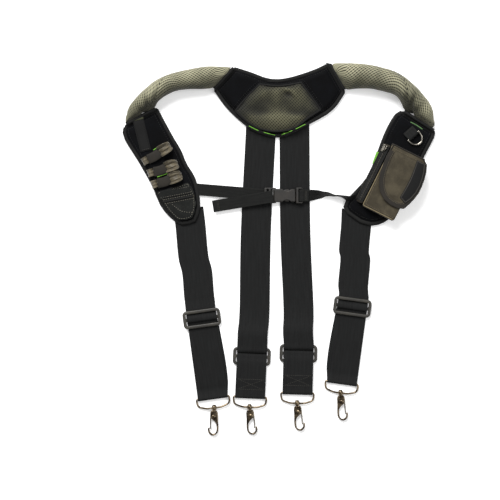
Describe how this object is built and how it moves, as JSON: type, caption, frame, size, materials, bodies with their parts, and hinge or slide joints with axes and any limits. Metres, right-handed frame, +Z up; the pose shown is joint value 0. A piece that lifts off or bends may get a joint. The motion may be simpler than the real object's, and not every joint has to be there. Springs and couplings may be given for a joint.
{
  "type": "tool belt shoulder harness",
  "caption": "Padded shoulder braces that carry a tool belt: curved yoke, padded fronts with loops and a zip pouch, chest strap with buckle, adjustable straps ending in snap hooks.",
  "frame": {"origin": "on the table, under the middle of the harness laid out flat", "axes": "+Y from the hooks towards the neck, +Z up from the table, +X to the pouch side"},
  "size_m": [0.5218, 0.6213, 0.037],
  "materials": {
    "black_cloth": "matte padded nylon cloth",
    "black_webbing": "matte ribbed webbing",
    "khaki_mesh": "matte air mesh",
    "olive_mesh": "matte air mesh",
    "khaki_cloth": "matte nylon cloth",
    "dark_rubber": "satin",
    "tan_elastic": "matte elastic band",
    "lime_cord": "satin cord",
    "aged_nickel": "aged nickel plate, satin",
    "bright_nickel": "bright plate",
    "dark_plastic": "satin moulded",
    "brown_plastic": "satin moulded"
  },
  "bodies": {
    "harness": {"yoke_cushion": "black_cloth", "yoke_mesh_panel": "olive_mesh", "yoke_piping": "lime_cord", "left_shoulder_roll": "khaki_mesh", "right_shoulder_roll": "khaki_mesh", "left_front_pad": "black_cloth", "right_front_pad": "black_cloth", "label_tab": "dark_rubber", "tool_loop_1": "tan_elastic", "loop_keeper_1": "black_webbing", "tool_loop_2": "tan_elastic", "loop_keeper_2": "black_webbing", "tool_loop_3": "tan_elastic", "loop_keeper_3": "black_webbing", "left_pocket": "black_cloth", "pouch_body": "khaki_cloth", "zip_gusset": "black_webbing", "ring_tab": "black_webbing", "front_left_upper_webbing": "black_webbing", "back_left_upper_webbing": "black_webbing", "back_right_upper_webbing": "black_webbing", "front_right_upper_webbing": "black_webbing", "buckle_socket": "brown_plastic", "chest_strap_left": "black_webbing", "chest_strap_tail": "black_webbing", "chest_strap_right": "black_webbing"},
    "front_left_adjuster": {"front_left_slider": "dark_plastic", "front_left_lower_webbing": "black_webbing"},
    "front_left_strap_end": {"front_left_webbing_end": "black_webbing"},
    "front_left_loop": {"front_left_wire_loop": "aged_nickel"},
    "front_left_snap": {"front_left_hook": "aged_nickel"},
    "front_left_gate": {"front_left_gate": "bright_nickel"},
    "back_left_adjuster": {"back_left_slider": "dark_plastic", "back_left_lower_webbing": "black_webbing"},
    "back_left_strap_end": {"back_left_webbing_end": "black_webbing"},
    "back_left_loop": {"back_left_wire_loop": "aged_nickel"},
    "back_left_snap": {"back_left_hook": "aged_nickel"},
    "back_left_gate": {"back_left_gate": "bright_nickel"},
    "back_right_adjuster": {"back_right_slider": "dark_plastic", "back_right_lower_webbing": "black_webbing"},
    "back_right_strap_end": {"back_right_webbing_end": "black_webbing"},
    "back_right_loop": {"back_right_wire_loop": "aged_nickel"},
    "back_right_snap": {"back_right_hook": "aged_nickel"},
    "back_right_gate": {"back_right_gate": "bright_nickel"},
    "front_right_adjuster": {"front_right_slider": "dark_plastic", "front_right_lower_webbing": "black_webbing"},
    "front_right_strap_end": {"front_right_webbing_end": "black_webbing"},
    "front_right_loop": {"front_right_wire_loop": "aged_nickel"},
    "front_right_snap": {"front_right_hook": "aged_nickel"},
    "front_right_gate": {"front_right_gate": "bright_nickel"},
    "flap": {"pouch_flap": "khaki_cloth", "flap_label": "dark_rubber"},
    "zip_slider": {"zip_slider": "bright_nickel"},
    "zip_pull": {"zip_pull": "bright_nickel"},
    "tab_ring": {"tab_ring": "bright_nickel"},
    "buckle_clip": {"buckle_clip": "brown_plastic", "chest_strap_fold": "black_webbing"},
    "upper_prong": {"buckle_prong_upper": "brown_plastic"},
    "lower_prong": {"buckle_prong_lower": "brown_plastic"}
  },
  "joints": [
    {"name": "front_left_adjust", "type": "slide", "parent": "harness", "child": "front_left_adjuster", "axis": [-0.1228, 0.9924, 0], "range_m": [-0.1, 0.1], "deforming": ["front_left_upper_webbing"]},
    {"name": "front_left_webbing_run", "type": "slide", "parent": "front_left_adjuster", "child": "front_left_strap_end", "axis": [0.1355, -0.9908, 0], "range_m": [-0.05, 0.05], "deforming": ["front_left_lower_webbing", "front_left_webbing_end"]},
    {"name": "front_left_loop_swing", "type": "hinge", "parent": "front_left_strap_end", "child": "front_left_loop", "pos_m": [-0.11088, -0.24696, 0.00429], "axis": [-0.9908, -0.1355, 0], "range_deg": [-80, 150]},
    {"name": "front_left_swivel", "type": "hinge", "parent": "front_left_loop", "child": "front_left_snap", "pos_m": [-0.10851, -0.2643, 0.00429], "axis": [-0.0175, -0.9998, 0], "continuous": true},
    {"name": "front_left_gate_pivot", "type": "hinge", "parent": "front_left_snap", "child": "front_left_gate", "pos_m": [-0.10956, -0.27879, 0.00429], "axis": [0, 0, 1], "range_deg": [0, 20], "stiffness_Nm_per_rad": 0.05, "springref_deg": -20.05},
    {"name": "back_left_adjust", "type": "slide", "parent": "harness", "child": "back_left_adjuster", "axis": [0.0395, 0.9992, 0], "range_m": [0, 0.12], "deforming": ["back_left_upper_webbing"]},
    {"name": "back_left_webbing_run", "type": "slide", "parent": "back_left_adjuster", "child": "back_left_strap_end", "axis": [-0.0434, -0.9991, 0], "range_m": [0, 0.06], "deforming": ["back_left_lower_webbing", "back_left_webbing_end"]},
    {"name": "back_left_loop_swing", "type": "hinge", "parent": "back_left_strap_end", "child": "back_left_loop", "pos_m": [-0.04868, -0.24556, 0.00429], "axis": [-0.9991, 0.0434, 0], "range_deg": [-80, 150]},
    {"name": "back_left_swivel", "type": "hinge", "parent": "back_left_loop", "child": "back_left_snap", "pos_m": [-0.04944, -0.26305, 0.00429], "axis": [0.0872, -0.9962, 0], "continuous": true},
    {"name": "back_left_gate_pivot", "type": "hinge", "parent": "back_left_snap", "child": "back_left_gate", "pos_m": [-0.04738, -0.27742, 0.00429], "axis": [0, 0, -1], "range_deg": [0, 20], "stiffness_Nm_per_rad": 0.05, "springref_deg": -20.05},
    {"name": "back_right_adjust", "type": "slide", "parent": "harness", "child": "back_right_adjuster", "axis": [-0.018, 0.9998, 0], "range_m": [0, 0.12], "deforming": ["back_right_upper_webbing"]},
    {"name": "back_right_webbing_run", "type": "slide", "parent": "back_right_adjuster", "child": "back_right_strap_end", "axis": [-0.0245, -0.9997, 0], "range_m": [0, 0.06], "deforming": ["back_right_lower_webbing", "back_right_webbing_end"]},
    {"name": "back_right_loop_swing", "type": "hinge", "parent": "back_right_strap_end", "child": "back_right_loop", "pos_m": [0.03022, -0.23906, 0.00429], "axis": [-0.9997, 0.0245, 0], "range_deg": [-80, 150]},
    {"name": "back_right_swivel", "type": "hinge", "parent": "back_right_loop", "child": "back_right_snap", "pos_m": [0.02979, -0.25656, 0.00429], "axis": [0.0872, -0.9962, 0], "continuous": true},
    {"name": "back_right_gate_pivot", "type": "hinge", "parent": "back_right_snap", "child": "back_right_gate", "pos_m": [0.03185, -0.27093, 0.00429], "axis": [0, 0, -1], "range_deg": [0, 20], "stiffness_Nm_per_rad": 0.05, "springref_deg": -20.05},
    {"name": "front_right_adjust", "type": "slide", "parent": "harness", "child": "front_right_adjuster", "axis": [0.0461, 0.9989, 0], "range_m": [-0.1, 0.1], "deforming": ["front_right_upper_webbing"]},
    {"name": "front_right_webbing_run", "type": "slide", "parent": "front_right_adjuster", "child": "front_right_strap_end", "axis": [-0.1353, -0.9908, 0], "range_m": [-0.05, 0.05], "deforming": ["front_right_lower_webbing", "front_right_webbing_end"]},
    {"name": "front_right_loop_swing", "type": "hinge", "parent": "front_right_strap_end", "child": "front_right_loop", "pos_m": [0.10432, -0.22206, 0.00429], "axis": [-0.9908, 0.1353, 0], "range_deg": [-80, 150]},
    {"name": "front_right_swivel", "type": "hinge", "parent": "front_right_loop", "child": "front_right_snap", "pos_m": [0.10196, -0.2394, 0.00429], "axis": [0.0698, -0.9976, 0], "continuous": true},
    {"name": "front_right_gate_pivot", "type": "hinge", "parent": "front_right_snap", "child": "front_right_gate", "pos_m": [0.10376, -0.25381, 0.00429], "axis": [0, 0, -1], "range_deg": [0, 20], "stiffness_Nm_per_rad": 0.05, "springref_deg": -20.05},
    {"name": "flap_hinge", "type": "hinge", "parent": "harness", "child": "flap", "pos_m": [0.21348, 0.1612, 0.03214], "axis": [-0.8949, 0.4462, 0], "range_deg": [0, 150]},
    {"name": "zip_run", "type": "slide", "parent": "harness", "child": "zip_slider", "axis": [-0.4462, -0.8949, 0], "range_m": [0, 0.09]},
    {"name": "zip_pull_flip", "type": "hinge", "parent": "zip_slider", "child": "zip_pull", "pos_m": [0.1742, 0.17206, 0.0222], "axis": [-0.6047, 0.3015, -0.7372], "range_deg": [0, 170]},
    {"name": "ring_swing", "type": "hinge", "parent": "harness", "child": "tab_ring", "pos_m": [0.22202, 0.18804, 0.01424], "axis": [-0.745, -0.6671, 0], "range_deg": [0, 150]},
    {"name": "buckle_release", "type": "slide", "parent": "harness", "child": "buckle_clip", "axis": [1, 0, 0], "range_m": [0, 0.03], "deforming": ["chest_strap_right", "buckle_prong_upper", "buckle_prong_lower"]},
    {"name": "upper_prong_squeeze", "type": "hinge", "parent": "buckle_clip", "child": "upper_prong", "pos_m": [0.02712, 0.09574, 0.00694], "axis": [0, 0, 1], "range_deg": [0, 9], "stiffness_Nm_per_rad": 0.3},
    {"name": "lower_prong_squeeze", "type": "hinge", "parent": "buckle_clip", "child": "lower_prong", "pos_m": [0.02712, 0.08254, 0.00694], "axis": [0, 0, -1], "range_deg": [0, 9], "stiffness_Nm_per_rad": 0.3}
  ],
  "couplings": [
    {"joint": "front_left_webbing_run", "follows": "front_left_adjust", "ratio": 0.5},
    {"joint": "back_left_webbing_run", "follows": "back_left_adjust", "ratio": 0.5},
    {"joint": "back_right_webbing_run", "follows": "back_right_adjust", "ratio": 0.5},
    {"joint": "front_right_webbing_run", "follows": "front_right_adjust", "ratio": 0.5}
  ]
}
